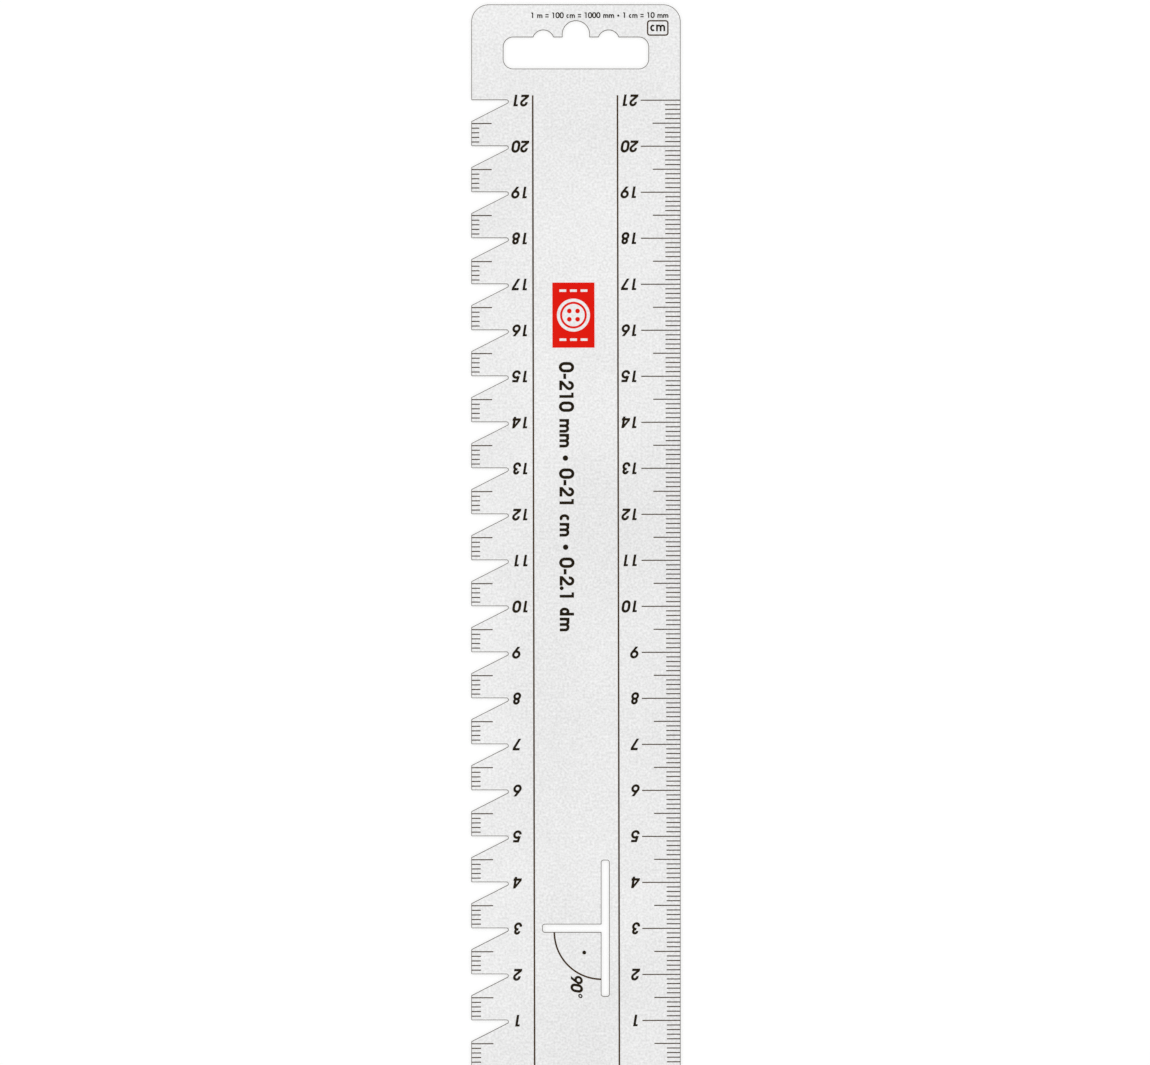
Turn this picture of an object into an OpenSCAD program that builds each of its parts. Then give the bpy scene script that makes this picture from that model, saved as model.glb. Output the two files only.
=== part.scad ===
// Sewing gauge: one die-cut plastic sheet with printed scales.
// The sheet lies flat on Z = 0, its length runs along Y and its head, with the hang slot, is at +Y.
// The toothed measuring edge is at -X and the millimetre edge at +X.

/* [Sheet] */
// Width of the sheet
sheet_w = 45.5; // [42:0.5:60]
// Thickness of the sheet
sheet_t = 1; // [0.6:0.1:2]
// Length of the measuring scale, in whole centimetres
scale_cm = 21; // [17:1:30]
// Height of the head above the last centimetre mark
head_h = 20.8; // [19:0.2:40]
// Radius of the head's two corners
head_r = 3.8; // [1:0.2:4.4]

/* [Hang slot] */
// Width of the hang slot
hang_w = 31.5; // [28:0.1:34]
// Height of the hang slot, without its lobes
hang_h = 6.8; // [6:0.1:7.5]
// Radius of the hang slot's four corners
hang_r = 2.1; // [0.5:0.1:2.9]
// Height of the hang slot's lower edge above the last centimetre mark
hang_lift = 6.85; // [4:0.05:7]
// Width of the middle lobe
lobe_w = 5.82; // [4.5:0.02:8]
// Rise of the middle lobe above the slot's upper edge
lobe_rise = 3.55; // [3:0.05:4]
// Distance between the centres of the two side lobes
bump_pitch = 14.2; // [13:0.1:20]
// Width of each side lobe at the slot's upper edge
bump_w = 4.35; // [3:0.01:4.8]
// Rise of each side lobe above the slot's upper edge
bump_rise = 1.54; // [0.5:0.02:2]

/* [Notches] */
// Depth of each notch
notch_depth = 8; // [5:0.1:9]
// Width of each notch's mouth at the sheet's edge
notch_mouth = 4.6; // [3:0.1:4.8]
// Radius of each notch's tip
notch_r = 0.33; // [0.1:0.01:0.5]
// Radius that rounds the corners of the teeth
tooth_r = 0.2; // [0.05:0.05:0.35]

/* [Right-angle slot] */
// Length of the arm that runs along the sheet
tee_arm_l = 29.5; // [26:0.5:34]
// Width of that arm
tee_arm_w = 1.65; // [1.2:0.05:2.6]
// Height of that arm's lower end above the zero end
tee_arm_y = 15.25; // [8:0.25:20]
// Overall width of the slot across the sheet, centred on it
tee_span = 14.4; // [13.5:0.1:17.5]
// Width of the cross arm, which meets the long arm at its middle
tee_cross_w = 1.65; // [1.2:0.05:2.6]
// Radius of the corners at the slot's ends
tee_r = 0.45; // [0.1:0.05:0.55]

/* [Right-angle mark] */
// Radius of the quarter arc in the slot's corner
angle_r = 10.25; // [8:0.05:10.5]
// Width of the arc's line
angle_line_w = 0.35; // [0.2:0.05:0.6]
// Radius of the dot
angle_dot_r = 0.42; // [0.2:0.01:0.8]
// Distance of the dot from the long arm
angle_dot_x = 3.75; // [1.5:0.05:5]
// Distance of the dot below the cross arm
angle_dot_y = 4.45; // [1.5:0.05:5]
// Distance of the figures' baseline from the long arm
angle_text_x = 6.65; // [6:0.05:7]
// How far the first figure starts above the arc's lowest point
angle_text_up = 1.1; // [0.5:0.05:1.1]

/* [Print] */
// Thickness of the ink film
ink_t = 0.03; // [0.02:0.01:0.1]
// Turn of the whole print against the die-cut outline, in degrees
print_turn = 0.115; // [-0.3:0.005:0.3]
// Distance by which the print sits low against the outline
print_drop = 0.06; // [0:0.01:0.1]
// Width of a guide line
guide_w = 0.33; // [0.15:0.01:0.6]
// Gap between the left guide line and the notches' figures
left_guide_gap = 0.67; // [0.3:0.01:1]
// Gap between the right guide line and the millimetre edge's figures
right_guide_gap = 0.52; // [0.3:0.01:1]
// Length of the guide lines beyond the last centimetre mark
guide_over = 1.1; // [0:0.1:2]

/* [Millimetre edge] */
// Width of a graduation line
tick_w = 0.22; // [0.1:0.01:0.3]
// Length of a centimetre line
cm_tick = 8.5; // [7:0.1:9]
// Length of a half-centimetre line
half_tick = 5.9; // [4.5:0.1:6.8]
// Length of a millimetre line
mm_tick = 3.2; // [2:0.05:4.2]
// Gap between a centimetre line and its figure
edge_figure_gap = 0.55; // [0.2:0.05:0.7]

/* [Toothed edge] */
// Length of the line at each half centimetre
tooth_half_tick = 4.6; // [3:0.05:5]
// Length of the lines at the millimetres
tooth_mm_tick = 1.9; // [1:0.1:2.5]
// Gap between a notch's tip and its figure
notch_figure_gap = 0.9; // [0.6:0.05:1.2]

/* [Figures] */
// Height of the scale's figures
figure_h = 2.52; // [2:0.01:2.6]
// Width of their strokes
figure_stroke = 0.52; // [0.2:0.01:0.55]
// Sideways lean of the figures for each unit of height
figure_lean = 0.16; // [0:0.01:0.25]

/* [Colour panel] */
// Width of the colour panel
panel_w = 9.15; // [8:0.05:11]
// Height of the colour panel
panel_h = 14.15; // [13.5:0.05:18]
// Distance from the last centimetre mark down to the panel
panel_drop = 39.6; // [20:0.1:41]
// Distance of the panel's centre to the left of the sheet's
panel_offset = 0.45; // [0:0.05:1]
// Radius of the bare button in the panel
button_r = 3.6; // [2.5:0.1:3.8]
// Distance of the button's printed rim line from its edge
button_rim_in = 0.7; // [0.3:0.05:0.8]
// Width of the button's printed rim line
button_rim_w = 0.45; // [0.2:0.05:0.6]
// Radius of the button's four holes
button_hole_r = 0.5; // [0.3:0.05:0.6]
// Distance between the holes of a pair
button_hole_pitch = 1.8; // [1.5:0.05:2]
// Length of each bare stitch above and below the button
stitch_l = 1.5; // [1:0.1:1.8]
// Width of each bare stitch
stitch_w = 0.55; // [0.3:0.05:0.8]
// Distance between neighbouring stitches' centres
stitch_pitch = 2.3; // [2:0.05:2.8]
// Distance of each row of stitches from the panel's edge
stitch_in = 1.75; // [1:0.05:2]

/* [Measures line] */
// Height of its figures
measure_h = 3.1; // [2:0.05:3.4]
// Width of their strokes
measure_stroke = 0.61; // [0.25:0.01:0.7]
// Gap between the colour panel and the line of measures
measure_gap = 3.1; // [1:0.1:4]

/* [Head print] */
// Height of the figures in the head's line of measures
head_text_h = 1.2; // [0.9:0.05:1.3]
// Width of their strokes
head_text_stroke = 0.23; // [0.1:0.01:0.25]
// Gap between that line and the unit box
head_text_gap = 0.5; // [0.3:0.05:0.7]
// Width of the unit box
box_w = 4.7; // [4.5:0.05:6]
// Height of the unit box
box_h = 3.4; // [2.8:0.05:3.6]
// Radius of the unit box's corners
box_r = 0.65; // [0.3:0.05:0.9]
// Width of the unit box's line
box_line_w = 0.29; // [0.1:0.01:0.4]
// Distance from the unit box to the sheet's long edge
box_side = 2.4; // [2:0.1:3]
// Distance from the unit box to the sheet's upper end
box_top = 3.4; // [3.2:0.1:3.6]
// Height of the unit mark's figures, of which its letters take two thirds
unit_h = 2.1; // [1.2:0.05:2.2]
// Width of the unit mark's strokes
unit_stroke = 0.37; // [0.15:0.01:0.45]

/* [Hidden] */

$fn = 48;
cm = 10;
mm = 1;
// How far a cutting shape reaches past what it cuts, and a line past the edge that trims it
over = 0.5;

// Y of the zero end, of the last centimetre mark and of the head's upper end
sheet_l = scale_cm * cm + head_h;
zero_y = -sheet_l / 2;
last_y = zero_y + scale_cm * cm;
top_y = sheet_l / 2;
edge_x = sheet_w / 2;

// The inner corner between the right-angle slot's two arms
tee_x = tee_span / 2 - tee_arm_w;
tee_mid_y = zero_y + tee_arm_y + tee_arm_l / 2;
tee_corner = [tee_x, tee_mid_y - tee_cross_w / 2];

plate_colour = "#e6e6e7";
black_ink = "#2b2621";
red_ink = "#e31f14";

// Type styles: height, width of stroke and lean
scale_face = [figure_h, figure_stroke, figure_lean];
measure_face = [measure_h, measure_stroke, 0];
head_face = [head_text_h, head_text_stroke, 0];
unit_face = [unit_h, unit_stroke, 0];

// Height of the small letters, as a share of the figures' height
x_height = 0.68;
// Space on the left of an m and radius of its two arches, as shares of that height
m_side = 0.06;
m_arch_r = 0.19;
// Widths of the heavier nought's stroke and of the four's lighter slant, as shares of the others
nought_weight = 1.07;
slant_weight = 0.89;
// How far the rounds of the three and the eight reach below the baseline and above the figures' height
round_dip = 0.04;
round_rise = 0.025;
// Turn of an arc between two of its points, in degrees
arc_step = 15;

function unit(v) = v / norm(v);
function left_of(v) = [-v.y, v.x];
function turned_about(points, centre) = [for (p = points) 2 * centre - p];

// Points of an arc with centre c and radii r, from angle a to angle b
function arc(c, r, a, b) =
    let (steps = ceil(abs(b - a) / arc_step))
    [for (i = [0:steps]) let (t = a + (b - a) * i / steps) c + [r.x * cos(t), r.y * sin(t)]];

// Where a line from p touches the circle with centre c and radius r, turned by the sign of side
function touch(p, c, r, side) =
    let (d = c - p, far = norm(d), reach = sqrt(far * far - r * r))
    let (along = unit(d) * reach / far, across = left_of(unit(d)) * side * r / far)
    p + (along + across) * reach;

// From the middle of a stroke to its left side at point i, cut level at the ends that are flat
function to_side(path, i, half, flat) =
    let (last = len(path) - 1, a = max(i, 1), b = min(i, last - 1))
    let (before = left_of(unit(path[a] - path[a - 1])), after = left_of(unit(path[b + 1] - path[b])))
    let (level = (i == 0 && flat[0]) || (i == last && flat[1]))
    let (way = level ? [1, 0] : unit(before + after))
    way * half / (way * before);

// Outline of a stroke of width w along a path, counterclockwise
function stroke(path, w, flat) = concat(
    [for (i = [0:len(path) - 1]) path[i] - to_side(path, i, w / 2, flat)],
    [for (i = [len(path) - 1:-1:0]) path[i] + to_side(path, i, w / 2, flat)]);

// Points drawn at a height of 1, at the height and lean of a type style
function set_in(face, points) = [for (p = points) face[0] * [p.x + face[2] * p.y, p.y]];

module pen(face, path, flat = [false, false]) {
    polygon(set_in(face, stroke(path, face[1] / face[0], flat)));
}

// Points of an oval with centre c and radii r, whose sides run straight to this rise above and below it
function oval(c, r, rise) =
    rise == 0 ? arc(c, r, 0, 360 - arc_step) :
    let (end = r - [0, rise])
    concat(arc(c + [0, rise], end, 0, 180), arc(c - [0, rise], end, 180, 360));

// A closed oval stroke with outer radii r
module ring(face, c, r, w, rise = 0) {
    outer = oval(c, r, rise);
    inner = oval(c, r - [w, w], rise);
    count = len(outer);
    polygon(set_in(face, concat(outer, inner)),
        paths = [[for (i = [0:count - 1]) i], [for (i = [0:count - 1]) count + i]]);
}

module disc(face, c, r) {
    polygon(set_in(face, arc(c, [r, r], 0, 360 - arc_step)));
}

module bar(face, low, high) {
    polygon(set_in(face, [low, [high.x, low.y], high, [low.x, high.y]]));
}

// The six, and the nine as the six turned about the middle of its cell
module six(face, turned) {
    w = face[1] / face[0];
    bowl = [0.37, 0.331];
    bowl_r = 0.359;
    head = [0.49, 1];
    middle = [0.385, 0.5];
    stem = [touch(head, bowl, bowl_r - w / 2, -1), head];
    ring(face, turned ? 2 * middle - bowl : bowl, [bowl_r, bowl_r], w);
    pen(face, turned ? turned_about(stem, middle) : stem, [false, true]);
}

// The two, whose slanting stroke ends in its foot's corner
module two(face) {
    w = face[1] / face[0];
    bowl = [0.399, 0.703];
    bowl_r = 0.323 - w / 2;
    foot = [0.193, w];
    meet = touch(foot, bowl, bowl_r, -1);
    meet_angle = atan2(meet.y - bowl.y, meet.x - bowl.x);
    path = concat(arc(bowl, [bowl_r, bowl_r], 196, meet_angle), [foot]);
    last = len(path) - 1;
    sides = stroke(path, w, [false, true]);
    polygon(set_in(face, concat(
        [for (i = [0:last]) sides[i]],
        [[sides[last].x, 0], [0.72, 0], [0.72, w]],
        [for (i = [last + 1:2 * last + 1]) sides[i]])));
}

// The four: a stem, a bar across it and a slanting stroke from the bar's left end to the top
module four(face) {
    w = face[1] / face[0];
    left = 0.033;
    right = 0.741;
    low = 0.135;
    stem = [0.565 - w / 2, 0.565 + w / 2];
    // The middle of the slanting stroke at the bar's underside and at the top
    slant = [0.015, 0.584];
    run = (slant[1] - slant[0]) / (1 - low);
    half = slant_weight * w / 2 * norm([run, 1]);
    points = [
        [left, low], [stem[0], low], [stem[0], 0], [stem[1], 0], [stem[1], low], [right, low],
        [right, low + w], [stem[1], low + w], [stem[1], 1], [slant[1] - half, 1],
        [left, low + (left - slant[0] + half) / run],
        [slant[0] + half + run * w, low + w], [stem[0], low + w],
        [stem[0], low + (stem[0] - slant[0] - half) / run]];
    polygon(set_in(face, points), paths = [[0, 1, 2, 3, 4, 5, 6, 7, 8, 9, 10], [11, 12, 13]]);
}

module seven(face) {
    w = face[1] / face[0];
    left = 0.093;
    right = 0.692;
    foot = 0.207;
    // Sideways run of the slanting stroke for each unit of height
    run = 0.47;
    half = w / 2 * norm([run, 1]);
    polygon(set_in(face, [
        [foot - half, 0], [foot + half, 0], [right, (right - foot - half) / run], [right, 1],
        [left, 1], [left, 1 - w], [foot - half + run * (1 - w), 1 - w]]));
}

// The three or the eight: two rounds that share a stroke at the waist
module rounds(face, d) {
    w = face[1] / face[0];
    waist = d == "3" ? 0.566 : 0.531;
    low_y = (waist + w / 2 - round_dip) / 2;
    low_r = (waist - w / 2 + round_dip) / 2;
    high_y = (1 + round_rise + waist - w / 2) / 2;
    high_r = (1 + round_rise - waist - w / 2) / 2;
    if (d == "3") {
        // The upper round stays open where its stroke is as wide as can be
        high_side = max(0.27, w + 0.02);
        pen(face, arc([0.346, low_y], [0.341 - w / 2, low_r], 90, -185));
        pen(face, arc([0.355, high_y], [high_side - w / 2, high_r], 188, -90));
        bar(face, [0.277, waist - w / 2], [0.375, waist + w / 2]);
    } else {
        ring(face, [0.385, low_y], [0.338, low_r + w / 2], w);
        ring(face, [0.385, high_y], [0.288, high_r + w / 2], w);
    }
}

// One figure in its cell, whose lower left corner is at the origin
module figure(face, d) {
    w = face[1] / face[0];
    if (d == "0") {
        ring(face, [0.37, 0.504], [0.365, 0.54], nought_weight * w, 0.153);
    }
    if (d == "1") {
        pen(face, [[0.409, 0], [0.409, 1]]);
        bar(face, [0.14, 1 - 0.85 * w], [0.409, 1]);
    }
    if (d == "2") {
        two(face);
    }
    if (d == "3" || d == "8") {
        rounds(face, d);
    }
    if (d == "4") {
        four(face);
    }
    if (d == "5") {
        pen(face, [[0.668, 1 - w / 2], [0.254, 1 - w / 2], [0.173, 0.47]]);
        pen(face, arc([0.383, 0.326], [0.366 - w / 2, 0.368 - w / 2], 140, -178));
    }
    if (d == "6" || d == "9") {
        six(face, d == "9");
    }
    if (d == "7") {
        seven(face);
    }
}

// One unit letter or sign in its cell
module sign(face, s) {
    w = face[1] / face[0];
    if (s == "c") {
        pen(face, arc([0.3, x_height / 2], [0.27 - w / 2, x_height / 2 - w / 2], 48, 312));
    }
    if (s == "m") {
        pen(face, [[m_side + w / 2, 0], [m_side + w / 2, x_height]]);
        for (i = [0:1]) {
            left = m_side + w / 2 + i * 2 * m_arch_r;
            spring = [left + m_arch_r, x_height - w / 2 - m_arch_r];
            pen(face, concat(arc(spring, [m_arch_r, m_arch_r], 180, 0), [[left + 2 * m_arch_r, 0]]));
        }
    }
    if (s == "d") {
        ring(face, [0.31, x_height / 2], [0.28, x_height / 2], w);
        pen(face, [[0.59 - w / 2, 0], [0.59 - w / 2, 1]]);
    }
    if (s == "=") {
        bar(face, [0.08, 0.21 - w / 2], [0.66, 0.21 + w / 2]);
        bar(face, [0.08, 0.61 - w / 2], [0.66, 0.61 + w / 2]);
    }
    if (s == "-") {
        bar(face, [0.06, 0.38 - w / 2], [0.44, 0.38 + w / 2]);
    }
    if (s == ".") {
        disc(face, [0.15, 0.7 * w], 0.7 * w);
    }
    if (s == "*") {
        disc(face, [0.3, 0.42], 0.19);
    }
    if (s == "^") {
        ring(face, [0.24, 0.82], [0.185, 0.185], w / 2);
    }
}

// Width of the cell that each character takes, as a share of the figures' height.
// The caret stands for the degree ring and the asterisk for a round bullet.
function cell(s) =
    s == "m" ? 1.04 : s == "c" ? 0.58 : s == "d" ? 0.68 : s == "=" ? 0.74 : s == "-" ? 0.5 :
    s == "." ? 0.3 : s == " " ? 0.42 : s == "*" ? 0.6 : s == "^" ? 0.5 : 0.755;
function run(words, count) = count == 0 ? 0 : run(words, count - 1) + cell(words[count - 1]);
function line_l(face, words) = face[0] * run(words, len(words));

// Width of a column of the scale's figures, and the guide lines that run beside the two columns
column_w = line_l(scale_face, str(scale_cm));
left_guide_x = -edge_x + notch_depth + notch_figure_gap + column_w + left_guide_gap + guide_w / 2;
right_guide_x = edge_x - cm_tick - edge_figure_gap - column_w - right_guide_gap - guide_w / 2;

// A line of figures and signs that starts at the origin
module line(face, words) {
    for (i = [0:len(words) - 1]) {
        translate([face[0] * run(words, i), 0]) {
            figure(face, words[i]);
            sign(face, words[i]);
        }
    }
}

// What rounding takes off the head's corner on the side -1 or 1
module head_corner(side) {
    translate([side * (edge_x - head_r), top_y - head_r])
        difference() {
            translate([side > 0 ? 0 : -head_r - over, 0])
                square(head_r + over);
            circle(head_r);
        }
}

module rounded_rect(w, h, r) {
    square([w - 2 * r, h], center = true);
    square([w, h - 2 * r], center = true);
    for (x = [-1, 1], y = [-1, 1])
        translate([x * (w / 2 - r), y * (h / 2 - r)])
            circle(r);
}

// Rise of a notch's sloping side for each unit of depth: the tip's arc touches both sides
function notch_slope() =
    let (a = notch_mouth - notch_r, b = notch_depth - notch_r)
    (a * b - notch_r * sqrt(a * a + b * b - notch_r * notch_r)) / (b * b - notch_r * notch_r);

// A notch with its level measuring side on Y = 0, cut into an edge at X = 0: round the tooth above
// it, along to the tip and back down the slope to the tooth below
module notch() {
    tilt = atan(notch_slope());
    tip = [notch_depth - notch_r, -notch_r];
    lower = [tooth_r, tooth_r * (tan(tilt) - 1 / cos(tilt)) - notch_mouth];
    polygon(concat(
        [[-over, tooth_r]],
        arc([tooth_r, tooth_r], [tooth_r, tooth_r], 180, 270),
        arc(tip, [notch_r, notch_r], 90, tilt - 90),
        arc(lower, [tooth_r, tooth_r], tilt + 90, 180),
        [[-over, lower.y]]));
}

// The hang slot, centred on its body
module hang_slot() {
    lobe_r = lobe_w / 2;
    bump_r = (bump_w * bump_w / 4 + bump_rise * bump_rise) / (2 * bump_rise);
    rounded_rect(hang_w, hang_h, hang_r);
    translate([0, hang_h / 2 + lobe_rise - lobe_r]) {
        circle(lobe_r);
        translate([-lobe_r, lobe_r - lobe_rise - hang_h / 2])
            square([lobe_w, hang_h / 2 + lobe_rise - lobe_r]);
    }
    for (x = [-1, 1])
        translate([x * bump_pitch / 2, hang_h / 2 + bump_rise - bump_r])
            circle(bump_r);
}

module right_angle_slot() {
    translate([tee_span / 2 - tee_arm_w / 2, tee_mid_y])
        rounded_rect(tee_arm_w, tee_arm_l, tee_r);
    translate([-tee_arm_w / 4, tee_mid_y])
        rounded_rect(tee_span - tee_arm_w / 2, tee_cross_w, tee_r);
}

// The sheet's die-cut outline with all its openings
module outline() {
    difference() {
        translate([-edge_x, zero_y])
            square([sheet_w, sheet_l]);
        for (side = [-1, 1])
            head_corner(side);
        translate([0, last_y + hang_lift + hang_h / 2])
            hang_slot();
        for (k = [1:scale_cm])
            translate([-edge_x, zero_y + k * cm])
                notch();
        right_angle_slot();
    }
}

// A film of ink on the sheet's upper face
module film(colour = black_ink) {
    color(colour)
        translate([0, 0, sheet_t])
            linear_extrude(ink_t)
                children();
}

// The print's place against the outline
module registered() {
    rotate(print_turn)
        translate([0, -print_drop])
            children();
}

// Print that runs off the sheet and is trimmed with it
module trimmed() {
    intersection() {
        registered()
            children();
        outline();
    }
}

// Lines from the millimetre edge inwards, at the given distances from the zero end
module edge_lines(length, places) {
    for (y = places)
        translate([edge_x - length, zero_y + y - tick_w / 2])
            square([length + over, tick_w]);
}

// Lines from the toothed edge inwards
module tooth_lines(length, places) {
    for (y = places)
        translate([-edge_x - over, zero_y + y - tick_w / 2])
            square([length + over, tick_w]);
}

module guide_line(x) {
    translate([x - guide_w / 2, zero_y - over])
        square([guide_w, last_y + guide_over - zero_y + over]);
}

// The number of each centimetre, upside down, with its reading edge at x: the near edge of
// its first cell, or the far edge of its last cell where it is set back
module scale_figures(x, set_back) {
    for (k = [1:scale_cm]) {
        words = str(k);
        start = set_back ? -line_l(scale_face, words) : 0;
        translate([x, zero_y + k * cm])
            rotate(180)
                translate([start - figure_lean * figure_h / 2, -figure_h / 2])
                    line(scale_face, words);
    }
}

module gauge_plate() {
    color(plate_colour)
        linear_extrude(sheet_t)
            outline();
}

module left_guide_line() {
    film()
        trimmed()
            guide_line(left_guide_x);
}

module right_guide_line() {
    film()
        trimmed()
            guide_line(right_guide_x);
}

module edge_cm_lines() {
    film()
        trimmed()
            edge_lines(cm_tick, [cm:cm:scale_cm * cm]);
}

module edge_half_cm_lines() {
    film()
        trimmed()
            edge_lines(half_tick, [cm / 2:cm:scale_cm * cm]);
}

module edge_mm_lines() {
    film()
        trimmed()
            for (k = [0:scale_cm - 1], half = [0, cm / 2])
                edge_lines(mm_tick, [for (y = [mm:mm:cm / 2 - mm]) k * cm + half + y]);
}

module edge_figures() {
    film()
        registered()
            scale_figures(edge_x - cm_tick - edge_figure_gap, false);
}

module notch_half_cm_lines() {
    film()
        trimmed()
            tooth_lines(tooth_half_tick, [cm / 2:cm:scale_cm * cm]);
}

module notch_mm_lines() {
    film()
        trimmed()
            for (k = [0:scale_cm - 1])
                tooth_lines(tooth_mm_tick, [for (y = [mm:mm:cm / 2 - mm]) k * cm + y]);
}

module notch_figures() {
    film()
        registered()
            scale_figures(-edge_x + notch_depth + notch_figure_gap, true);
}

module right_angle_arc() {
    film()
        translate(tee_corner)
            intersection() {
                difference() {
                    circle(angle_r + angle_line_w / 2);
                    circle(angle_r - angle_line_w / 2);
                }
                translate([-angle_r - over, -angle_r - over])
                    square(angle_r + over);
            }
}

module right_angle_dot() {
    film()
        translate(tee_corner - [angle_dot_x, angle_dot_y])
            circle(angle_dot_r);
}

module right_angle_figures() {
    film()
        translate(tee_corner - [angle_text_x, angle_r - angle_text_up])
            rotate(-90)
                line(scale_face, "90^");
}

module colour_panel() {
    rim_r = button_r - button_rim_in;
    film(red_ink)
        registered()
            translate([-panel_offset, last_y - panel_drop - panel_h / 2]) {
                difference() {
                    square([panel_w, panel_h], center = true);
                    circle(button_r);
                    for (x = [-1:1], y = [-1, 1])
                        translate([x * stitch_pitch, y * (panel_h / 2 - stitch_in)])
                            square([stitch_l, stitch_w], center = true);
                }
                difference() {
                    circle(rim_r);
                    circle(rim_r - button_rim_w);
                }
                for (x = [-1, 1], y = [-1, 1])
                    translate([x * button_hole_pitch / 2, y * button_hole_pitch / 2])
                        circle(button_hole_r);
            }
}

module measures_line() {
    words = str("0-", scale_cm * cm, " mm * 0-", scale_cm, " cm * 0-", scale_cm / cm, " dm");
    film()
        registered()
            translate([-panel_offset - measure_h, last_y - panel_drop - panel_h - measure_gap])
                rotate(-90)
                    line(measure_face, words);
}

module head_measures_line() {
    words = "1 m = 100 cm = 1000 mm * 1 cm = 10 mm";
    film()
        registered()
            translate([edge_x - box_side - line_l(head_face, words), top_y - box_top + head_text_gap])
                line(head_face, words);
}

module unit_box_place() {
    translate([edge_x - box_side - box_w / 2, top_y - box_top - box_h / 2])
        children();
}

module unit_box() {
    film()
        registered()
            unit_box_place()
                difference() {
                    rounded_rect(box_w, box_h, box_r);
                    rounded_rect(box_w - 2 * box_line_w, box_h - 2 * box_line_w, box_r - box_line_w);
                }
}

module unit_mark() {
    film()
        registered()
            unit_box_place()
                translate([-line_l(unit_face, "cm") / 2, -x_height * unit_h / 2])
                    line(unit_face, "cm");
}

gauge_plate();
left_guide_line();
right_guide_line();
edge_cm_lines();
edge_half_cm_lines();
edge_mm_lines();
edge_figures();
notch_half_cm_lines();
notch_mm_lines();
notch_figures();
right_angle_arc();
right_angle_dot();
right_angle_figures();
colour_panel();
measures_line();
head_measures_line();
unit_box();
unit_mark();
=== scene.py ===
import math

import bmesh
import bpy
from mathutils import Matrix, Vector
from mathutils.geometry import tessellate_polygon


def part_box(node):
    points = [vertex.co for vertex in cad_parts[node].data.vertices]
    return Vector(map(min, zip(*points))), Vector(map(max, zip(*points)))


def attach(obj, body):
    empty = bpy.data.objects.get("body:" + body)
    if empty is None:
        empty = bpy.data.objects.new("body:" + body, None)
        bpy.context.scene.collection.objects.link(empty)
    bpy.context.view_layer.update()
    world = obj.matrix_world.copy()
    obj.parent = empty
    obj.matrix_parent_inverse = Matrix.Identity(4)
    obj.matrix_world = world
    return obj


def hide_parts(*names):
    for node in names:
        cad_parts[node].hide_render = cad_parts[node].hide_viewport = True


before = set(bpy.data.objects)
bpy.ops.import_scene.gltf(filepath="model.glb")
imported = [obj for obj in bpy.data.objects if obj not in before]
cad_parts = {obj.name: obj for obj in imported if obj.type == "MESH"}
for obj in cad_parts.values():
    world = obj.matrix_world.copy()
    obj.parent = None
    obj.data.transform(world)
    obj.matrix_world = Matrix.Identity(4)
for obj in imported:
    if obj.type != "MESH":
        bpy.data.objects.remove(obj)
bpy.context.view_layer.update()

MM = 0.001

# The photograph: its size, its scale and two places in it, in its own pixels
PHOTO_W = 1150
PHOTO_H = 1065
PX_PER_MM = 4.601
SHEET_MIDDLE_PX = 575.95
ZERO_END_PX = 1066.3

# The rounds of the sheet's rim, in millimetres, and the steps that each is made in
UPPER_ROUND = 0.15
LOWER_ROUND = 0.07
ROUND_STEPS = 4
# Vertices closer than this are one, in metres
WELD = 1e-6
# A face whose normal rises by more than this lies on the upper side
UPWARD = 0.9
# Turn between two points of a rounded corner, in degrees
ARC_STEP = 5
# Two neighbouring chords lie on one arc if they turn by this much, in degrees, and their lengths
# differ by less than this share
ARC_TURN = (2, 25)
SAME_LENGTH = 0.03

# Where most values of a fine noise lie, and those of a slow one
NOISE_SPAN = (0.3, 0.7)
SLOW_NOISE_SPAN = (0.35, 0.65)
# Span of a sum of tones about 0
TONE_SPAN = (-1, 1)
# Place in the noise field of seed 1, with seed 2 twice as far away, and so on
SEED_PLACE = (7.3, 3.1, 1.7)
# Depth at which the painted shade on the rim's upper corner has faded out, in radii of the upper
# round
CORNER_DEPTH = 1.5


def make_camera():
    """A long lens straight above the sheet, with the head at the top of the picture."""
    sensor = 36
    lens = 400
    low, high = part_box("gauge_plate")
    frame_w = PHOTO_W / PX_PER_MM * MM
    right_of_middle = (PHOTO_W / 2 - SHEET_MIDDLE_PX) / PX_PER_MM * MM
    above_zero_end = (ZERO_END_PX - PHOTO_H / 2) / PX_PER_MM * MM
    height = high.z + frame_w * lens / sensor
    data = bpy.data.cameras.new("camera")
    data.sensor_width = sensor
    data.lens = lens
    camera = bpy.data.objects.new("camera", data)
    middle_x = (low.x + high.x) / 2
    camera.location = (middle_x + right_of_middle, low.y + above_zero_end, height)
    bpy.context.scene.collection.objects.link(camera)
    bpy.context.scene.camera = camera


# Materials


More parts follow.
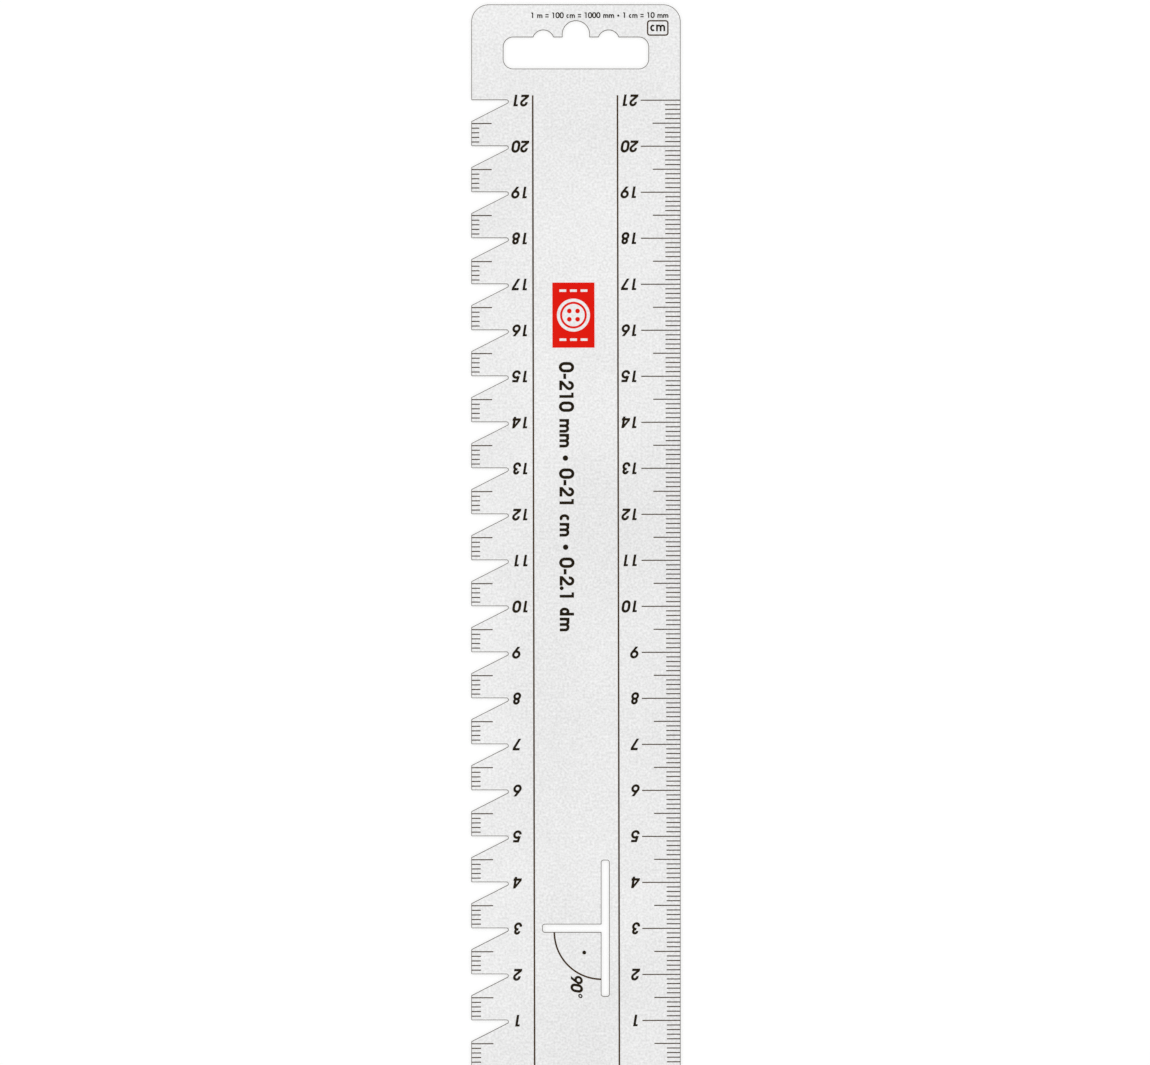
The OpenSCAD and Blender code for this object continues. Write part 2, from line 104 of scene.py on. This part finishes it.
class Shader:
    """A material with a Principled BSDF, whose noise is measured in millimetres of the sheet."""

    def __init__(self, name):
        self.material = bpy.data.materials.new(name)
        self.material.use_nodes = True
        self.nodes = self.material.node_tree.nodes
        self.links = self.material.node_tree.links
        self.bsdf = self.nodes["Principled BSDF"]
        self.place = self.nodes.new("ShaderNodeTexCoord").outputs["Object"]

    def set(self, **sockets):
        """Fixed values for the BSDF's sockets, with _ for each space in a socket's name."""
        for name, value in sockets.items():
            self.bsdf.inputs[name.replace("_", " ")].default_value = value

    def noise(self, size_mm, detail=2, seed=0):
        """Noise with grains of the given size along X, Y and Z, in millimetres."""
        mapping = self.nodes.new("ShaderNodeMapping")
        mapping.inputs["Scale"].default_value = [1 / (s * MM) for s in size_mm]
        mapping.inputs["Location"].default_value = [seed * step for step in SEED_PLACE]
        self.links.new(self.place, mapping.inputs["Vector"])
        noise = self.nodes.new("ShaderNodeTexNoise")
        noise.inputs["Scale"].default_value = 1
        noise.inputs["Detail"].default_value = detail
        self.links.new(mapping.outputs["Vector"], noise.inputs["Vector"])
        return noise.outputs["Fac"]

    def spread(self, value, span, result=(0, 1)):
        """The value with the span stretched to the result, and cut off there."""
        node = self.nodes.new("ShaderNodeMapRange")
        for name, number in zip(("From Min", "From Max", "To Min", "To Max"), (*span, *result)):
            node.inputs[name].default_value = number
        self.links.new(value, node.inputs["Value"])
        return node.outputs["Result"]

    def tone(self, noise, amount, span=NOISE_SPAN):
        """The noise as a tone from -amount to amount."""
        return self.spread(noise, span, (-amount, amount))

    def math(self, operation, a, b):
        """One step of arithmetic on two outputs or numbers."""
        node = self.nodes.new("ShaderNodeMath")
        node.operation = operation
        for socket, value in zip(node.inputs, (a, b)):
            if isinstance(value, (int, float)):
                socket.default_value = value
            else:
                self.links.new(value, socket)
        return node.outputs["Value"]

    def blend(self, share, a, b):
        """The colours a and b mixed by the share of b."""
        node = self.nodes.new("ShaderNodeMix")
        node.data_type = "RGBA"
        self.links.new(share, node.inputs["Factor"])
        for name, colour in (("A", a), ("B", b)):
            socket = [s for s in node.inputs if s.name == name and s.type == "RGBA"][0]
            if isinstance(colour, tuple):
                socket.default_value = colour
            else:
                self.links.new(colour, socket)
        return [s for s in node.outputs if s.type == "RGBA"][0]

    def painted_shade_rim(self):
        """Mask of the painted shade: 1 on the sheet's rounded upper corner and 0 on the wall below
        it.
        """
        height = self.nodes.new("ShaderNodeSeparateXYZ")
        self.links.new(self.place, height.inputs["Vector"])
        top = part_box("gauge_plate")[1].z
        faded = top - CORNER_DEPTH * UPPER_ROUND * MM
        full = top - UPPER_ROUND * MM
        return self.spread(height.outputs["Z"], (faded, full))

    def colour(self, value):
        self.links.new(value, self.bsdf.inputs["Base Color"])

    def roughness(self, value):
        self.links.new(value, self.bsdf.inputs["Roughness"])

    def bump(self, height, depth_mm):
        node = self.nodes.new("ShaderNodeBump")
        node.inputs["Distance"].default_value = depth_mm * MM
        self.links.new(height, node.inputs["Height"])
        self.links.new(node.outputs["Normal"], self.bsdf.inputs["Normal"])


def srgb(red, green, blue):
    """A screen colour, given from 0 to 255, as Blender's linear colour."""
    channels = [c / 255 for c in (red, green, blue)]
    linear = [c / 12.92 if c <= 0.04045 else ((c + 0.055) / 1.055) ** 2.4 for c in channels]
    return (*linear, 1)


def sheet_material():
    """Cool light grey sheet plastic with a fine frosted grain, faint clouds and a few hairlines."""
    s = Shader("sheet_face")
    s.set(IOR=1.5)
    grain = s.noise((0.5, 0.5, 0.5))
    fleck = s.noise((1.6, 1.6, 1.6), detail=3, seed=1)
    cloud = s.noise((34, 46, 34), seed=2)
    speckle = s.math("ADD", s.tone(grain, 0.7), s.tone(fleck, 0.15))
    tones = s.math("ADD", speckle, s.tone(cloud, 0.2, SLOW_NOISE_SPAN))
    s.colour(s.blend(s.spread(tones, TONE_SPAN), srgb(217, 217, 217), srgb(251, 251, 251)))
    # The peaks of a noise drawn out along the sheet are hairlines, a little smoother than the rest
    hairline = s.spread(s.noise((0.16, 60, 1), detail=1, seed=3), (0.7, 0.76))
    frost = s.spread(fleck, NOISE_SPAN, (0.47, 0.56))
    s.roughness(s.math("SUBTRACT", frost, s.math("MULTIPLY", hairline, 0.12)))
    s.bump(s.math("SUBTRACT", speckle, hairline), depth_mm=0.006)
    return s.material


def cut_edge_material():
    """The die-cut edge, darker than the face and drawn with fine upright shear marks, with painted
    shade along its rounded upper corner.
    """
    s = Shader("cut_edge")
    s.set(IOR=1.5)
    shear = s.noise((0.07, 0.07, 1.2), detail=3, seed=4)
    grime = s.noise((2.4, 2.4, 0.5), detail=3, seed=5)
    share = s.spread(s.math("ADD", s.tone(shear, 0.5), s.tone(grime, 0.5)), TONE_SPAN)
    wall = s.blend(share, srgb(172, 171, 170), srgb(202, 201, 199))
    # Painted shade: the rounded upper corner is coloured far darker than the wall, to draw the dark
    # shading line along the cut edge
    corner = s.blend(share, srgb(84, 79, 73), srgb(116, 110, 102))
    s.colour(s.blend(s.painted_shade_rim(), wall, corner))
    s.roughness(s.spread(shear, NOISE_SPAN, (0.55, 0.7)))
    s.bump(shear, depth_mm=0.012)
    return s.material


def ink_material(name, thin, full):
    """A screen-printed film, mottled from its thin to its full colour by the print's fine mesh."""
    s = Shader(name)
    s.set(IOR=1.4, Specular_IOR_Level=0.06)
    mottle = s.noise((0.18, 0.18, 0.18), seed=6)
    drift = s.noise((9, 9, 9), detail=1, seed=7)
    tones = s.math("ADD", s.tone(mottle, 0.5), s.tone(drift, 0.5, SLOW_NOISE_SPAN))
    s.colour(s.blend(s.spread(tones, TONE_SPAN), thin, full))
    s.roughness(s.spread(mottle, NOISE_SPAN, (0.4, 0.52)))
    s.bump(mottle, depth_mm=0.004)
    return s.material


# The sheet


def turn(a, b):
    """The turn from the direction a to b, in degrees, to the left."""
    return math.degrees(math.atan2(a.x * b.y - a.y * b.x, a.dot(b)))


def left_of(v):
    return Vector((-v.y, v.x))


def outlines(node):
    """The outlines of a flat node's upper face, in millimetres, with the solid on their left."""
    mesh = bmesh.new()
    mesh.from_mesh(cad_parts[node].data)
    bmesh.ops.remove_doubles(mesh, verts=mesh.verts, dist=WELD)
    mesh.normal_update()
    mesh.verts.index_update()
    follow = {}
    for face in mesh.faces:
        if face.normal.z <= UPWARD:
            continue
        for corner in face.loops:
            if not any(f is not face and f.normal.z > UPWARD for f in corner.edge.link_faces):
                follow[corner.vert.index] = corner.link_loop_next.vert.index
    mesh.verts.ensure_lookup_table()
    loops = []
    while follow:
        at = min(follow)
        loop = []
        while at in follow:
            loop.append(mesh.verts[at].co.xy / MM)
            at = follow.pop(at)
        loops.append(loop)
    mesh.free()
    return loops


def arc_turn(before, start, end):
    """The turn of the arc that the chords before-start and start-end share, or 0."""
    a, b = start - before, end - start
    angle = turn(a, b)
    same = abs(a.length - b.length) < SAME_LENGTH * b.length
    return angle if same and ARC_TURN[0] < abs(angle) < ARC_TURN[1] else 0


def with_round_arcs(loop):
    """The outline with each arc's chords divided into finer ones."""
    count = len(loop)
    finer = []
    for i, start in enumerate(loop):
        end = loop[(i + 1) % count]
        angle = arc_turn(loop[i - 1], start, end) or -arc_turn(loop[(i + 2) % count], end, start)
        finer.append(start)
        if not angle:
            continue
        chord = end - start
        rise = left_of(chord) / (2 * math.tan(math.radians(angle) / 2))
        centre = (start + end) / 2 + rise
        steps = math.ceil(abs(angle) / ARC_STEP)
        for k in range(1, steps):
            t = math.radians(angle) * k / steps
            spoke = start - centre
            turned = Vector((spoke.x * math.cos(t) - spoke.y * math.sin(t),
                             spoke.x * math.sin(t) + spoke.y * math.cos(t)))
            finer.append(centre + turned)
    return finer


def moved_in(loop, distance):
    """The outline moved into the solid by a distance, with its corners mitred."""
    moved = []
    for i, point in enumerate(loop):
        before = left_of((point - loop[i - 1]).normalized())
        after = left_of((loop[(i + 1) % len(loop)] - point).normalized())
        moved.append(point + (before + after) / (1 + before.dot(after)) * distance)
    return moved


def rim_profile(thickness):
    """Distance in from the outline and height of each ring of the rim, from below to above."""
    quarter = [math.radians(90) * k / ROUND_STEPS for k in range(ROUND_STEPS + 1)]
    lower = [(LOWER_ROUND * (1 - math.sin(a)), LOWER_ROUND * (1 - math.cos(a))) for a in quarter]
    upper = [
        (UPPER_ROUND * (1 - math.cos(a)), thickness - UPPER_ROUND * (1 - math.sin(a)))
        for a in quarter]
    return lower + upper


def make_sheet(face_material, edge_material):
    """The sheet with the rounded rim that die cutting leaves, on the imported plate's outline."""
    low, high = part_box("gauge_plate")
    loops = [with_round_arcs(loop) for loop in outlines("gauge_plate")]
    profile = rim_profile((high.z - low.z) / MM)
    mesh = bmesh.new()
    rings = []
    for inset, height in profile:
        rings.append([
            [mesh.verts.new((*p, height)) for p in moved_in(loop, inset)]
            for loop in loops])
    for below, above in zip(rings, rings[1:]):
        for under, over in zip(below, above):
            for i in range(len(under)):
                j = (i + 1) % len(under)
                rim = mesh.faces.new((under[i], under[j], over[j], over[i]))
                rim.material_index = 1
                rim.smooth = True
    for ring, up in ((rings[0], -1), (rings[-1], 1)):
        flat = [v for loop in ring for v in loop]
        for corners in tessellate_polygon([[v.co for v in loop] for loop in ring]):
            face = mesh.faces.new([flat[k] for k in corners])
            face.normal_update()
            if face.normal.z * up < 0:
                face.normal_flip()
    bmesh.ops.scale(mesh, verts=mesh.verts, vec=(MM, MM, MM))
    bmesh.ops.translate(mesh, verts=mesh.verts, vec=(0, 0, low.z))
    data = bpy.data.meshes.new("sheet")
    mesh.to_mesh(data)
    mesh.free()
    data.materials.append(face_material)
    data.materials.append(edge_material)
    sheet = bpy.data.objects.new("sheet", data)
    bpy.context.scene.collection.objects.link(sheet)
    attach(sheet, "root")
    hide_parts("gauge_plate")


# The print


def drape(node, cut_edges, material):
    """A node's ink with its ends laid over the sheet's rounded rim. Each cut edge that it runs to
    is given by its axis, 0 or 1, and by the side of the node that lies on it, -1 or 1."""
    low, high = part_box(node)
    radius = UPPER_ROUND * MM
    mesh = bmesh.new()
    mesh.from_mesh(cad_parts[node].data)
    bmesh.ops.remove_doubles(mesh, verts=mesh.verts, dist=WELD)
    for axis, side in cut_edges:
        edge = (high if side > 0 else low)[axis]
        across = Vector((0, 0, 0))
        across[axis] = side
        for k in range(1, ROUND_STEPS + 1):
            inwards = radius * (1 - math.cos(math.radians(90) * k / ROUND_STEPS))
            cut = Vector((0, 0, 0))
            cut[axis] = edge - side * inwards
            geometry = mesh.verts[:] + mesh.edges[:] + mesh.faces[:]
            bmesh.ops.bisect_plane(mesh, geom=geometry, dist=WELD, plane_co=cut, plane_no=across)
        for v in mesh.verts:
            outwards = radius - side * (edge - v.co[axis])
            if outwards > 0:
                v.co.z -= radius - math.sqrt(max(radius ** 2 - outwards ** 2, 0))
    data = bpy.data.meshes.new(node + "_print")
    mesh.to_mesh(data)
    mesh.free()
    data.materials.append(material)
    ink = bpy.data.objects.new(node + "_print", data)
    bpy.context.scene.collection.objects.link(ink)
    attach(ink, "root")
    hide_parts(node)


def make_print(black, fine_black, red):
    """Ink on every printed node, laid over the rim where it runs to a cut edge. The lines hold
    less ink than the lettering and the dots, so they print a little browner."""
    to_cut_edges = {
        "left_guide_line": [(1, -1)],
        "right_guide_line": [(1, -1)],
        "edge_cm_lines": [(0, 1)],
        "edge_half_cm_lines": [(0, 1)],
        "edge_mm_lines": [(0, 1)],
        "notch_half_cm_lines": [(0, -1)],
        "notch_mm_lines": [(0, -1)],
        "right_angle_arc": [(0, 1), (1, 1)],
    }
    inks = {"colour_panel": red, "unit_box": fine_black}
    for node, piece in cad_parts.items():
        if node == "gauge_plate":
            continue
        if node in to_cut_edges:
            drape(node, to_cut_edges[node], fine_black)
        else:
            piece.data.materials.clear()
            piece.data.materials.append(inks.get(node, black))


# The studio


def seen_directly(tree):
    """1 for the rays that show the background as it is: camera, glossy and transmission rays."""
    path = tree.nodes.new("ShaderNodeLightPath")
    seen = path.outputs["Is Camera Ray"]
    for ray in ("Is Glossy Ray", "Is Transmission Ray"):
        either = tree.nodes.new("ShaderNodeMath")
        either.operation = "MAXIMUM"
        tree.links.new(seen, either.inputs[0])
        tree.links.new(path.outputs[ray], either.inputs[1])
        seen = either.outputs[0]
    return seen


def make_world(fill):
    """White to the camera, and a soft even fill for the object."""
    world = bpy.data.worlds.new("studio")
    bpy.context.scene.world = world
    world.use_nodes = True
    tree = world.node_tree
    tree.nodes.clear()
    strength = tree.nodes.new("ShaderNodeMapRange")
    strength.inputs["To Min"].default_value = fill
    strength.inputs["To Max"].default_value = 1
    tree.links.new(seen_directly(tree), strength.inputs["Value"])
    background = tree.nodes.new("ShaderNodeBackground")
    background.inputs["Color"].default_value = (1, 1, 1, 1)
    tree.links.new(strength.outputs["Result"], background.inputs["Strength"])
    output = tree.nodes.new("ShaderNodeOutputWorld")
    tree.links.new(background.outputs["Background"], output.inputs["Surface"])


def make_floor(glow):
    """A white table just under the sheet. The glow is the share of its white that doesn't depend on
    light, and the rest of its brightness is the studio's, so that it holds the sheet's shadow."""
    size = 12
    gap = 0.01 * MM
    white = 0.9
    glow_strength = 1.115
    material = bpy.data.materials.new("table")
    material.use_nodes = True
    tree = material.node_tree
    tree.nodes.clear()
    diffuse = tree.nodes.new("ShaderNodeBsdfDiffuse")
    diffuse.inputs["Color"].default_value = (white, white, white, 1)
    emission = tree.nodes.new("ShaderNodeEmission")
    emission.inputs["Strength"].default_value = glow_strength
    share = tree.nodes.new("ShaderNodeMath")
    share.operation = "MULTIPLY"
    share.inputs[1].default_value = glow
    tree.links.new(seen_directly(tree), share.inputs[0])
    mix = tree.nodes.new("ShaderNodeMixShader")
    tree.links.new(share.outputs[0], mix.inputs["Fac"])
    tree.links.new(diffuse.outputs["BSDF"], mix.inputs[1])
    tree.links.new(emission.outputs["Emission"], mix.inputs[2])
    output = tree.nodes.new("ShaderNodeOutputMaterial")
    tree.links.new(mix.outputs["Shader"], output.inputs["Surface"])
    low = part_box("gauge_plate")[0]
    data = bpy.data.meshes.new("table")
    signs = ((-1, -1), (1, -1), (1, 1), (-1, 1))
    corners = [(x * size / 2, y * size / 2, low.z - gap) for x, y in signs]
    data.from_pydata(corners, [], [(0, 1, 2, 3)])
    data.materials.append(material)
    table = bpy.data.objects.new("table", data)
    bpy.context.scene.collection.objects.link(table)


def make_lights(watts):
    """Four soft boxes round the sheet, aimed at it from well above its plane."""
    distance = 1.2
    width = 0.7
    elevation = math.radians(55)
    for k in range(4):
        azimuth = math.radians(45 + 90 * k)
        data = bpy.data.lights.new(f"soft_box_{k}", "AREA")
        data.shape = "SQUARE"
        data.size = width
        data.energy = watts
        light = bpy.data.objects.new(f"soft_box_{k}", data)
        way = Vector((
            math.cos(azimuth) * math.cos(elevation),
            math.sin(azimuth) * math.cos(elevation),
            math.sin(elevation)))
        light.location = way * distance
        light.rotation_mode = "QUATERNION"
        light.rotation_quaternion = way.to_track_quat("Z", "Y")
        bpy.context.scene.collection.objects.link(light)


make_camera()
make_sheet(sheet_material(), cut_edge_material())
make_print(
    ink_material("black_ink", srgb(37, 28, 13), srgb(24, 17, 6)),
    ink_material("fine_black_ink", srgb(72, 52, 29), srgb(54, 38, 19)),
    ink_material("red_ink", srgb(229, 30, 14), srgb(224, 17, 6)))
make_world(fill=0.45)
make_floor(glow=0.6)
make_lights(watts=2.5)
bpy.context.scene.view_settings.view_transform = "Standard"
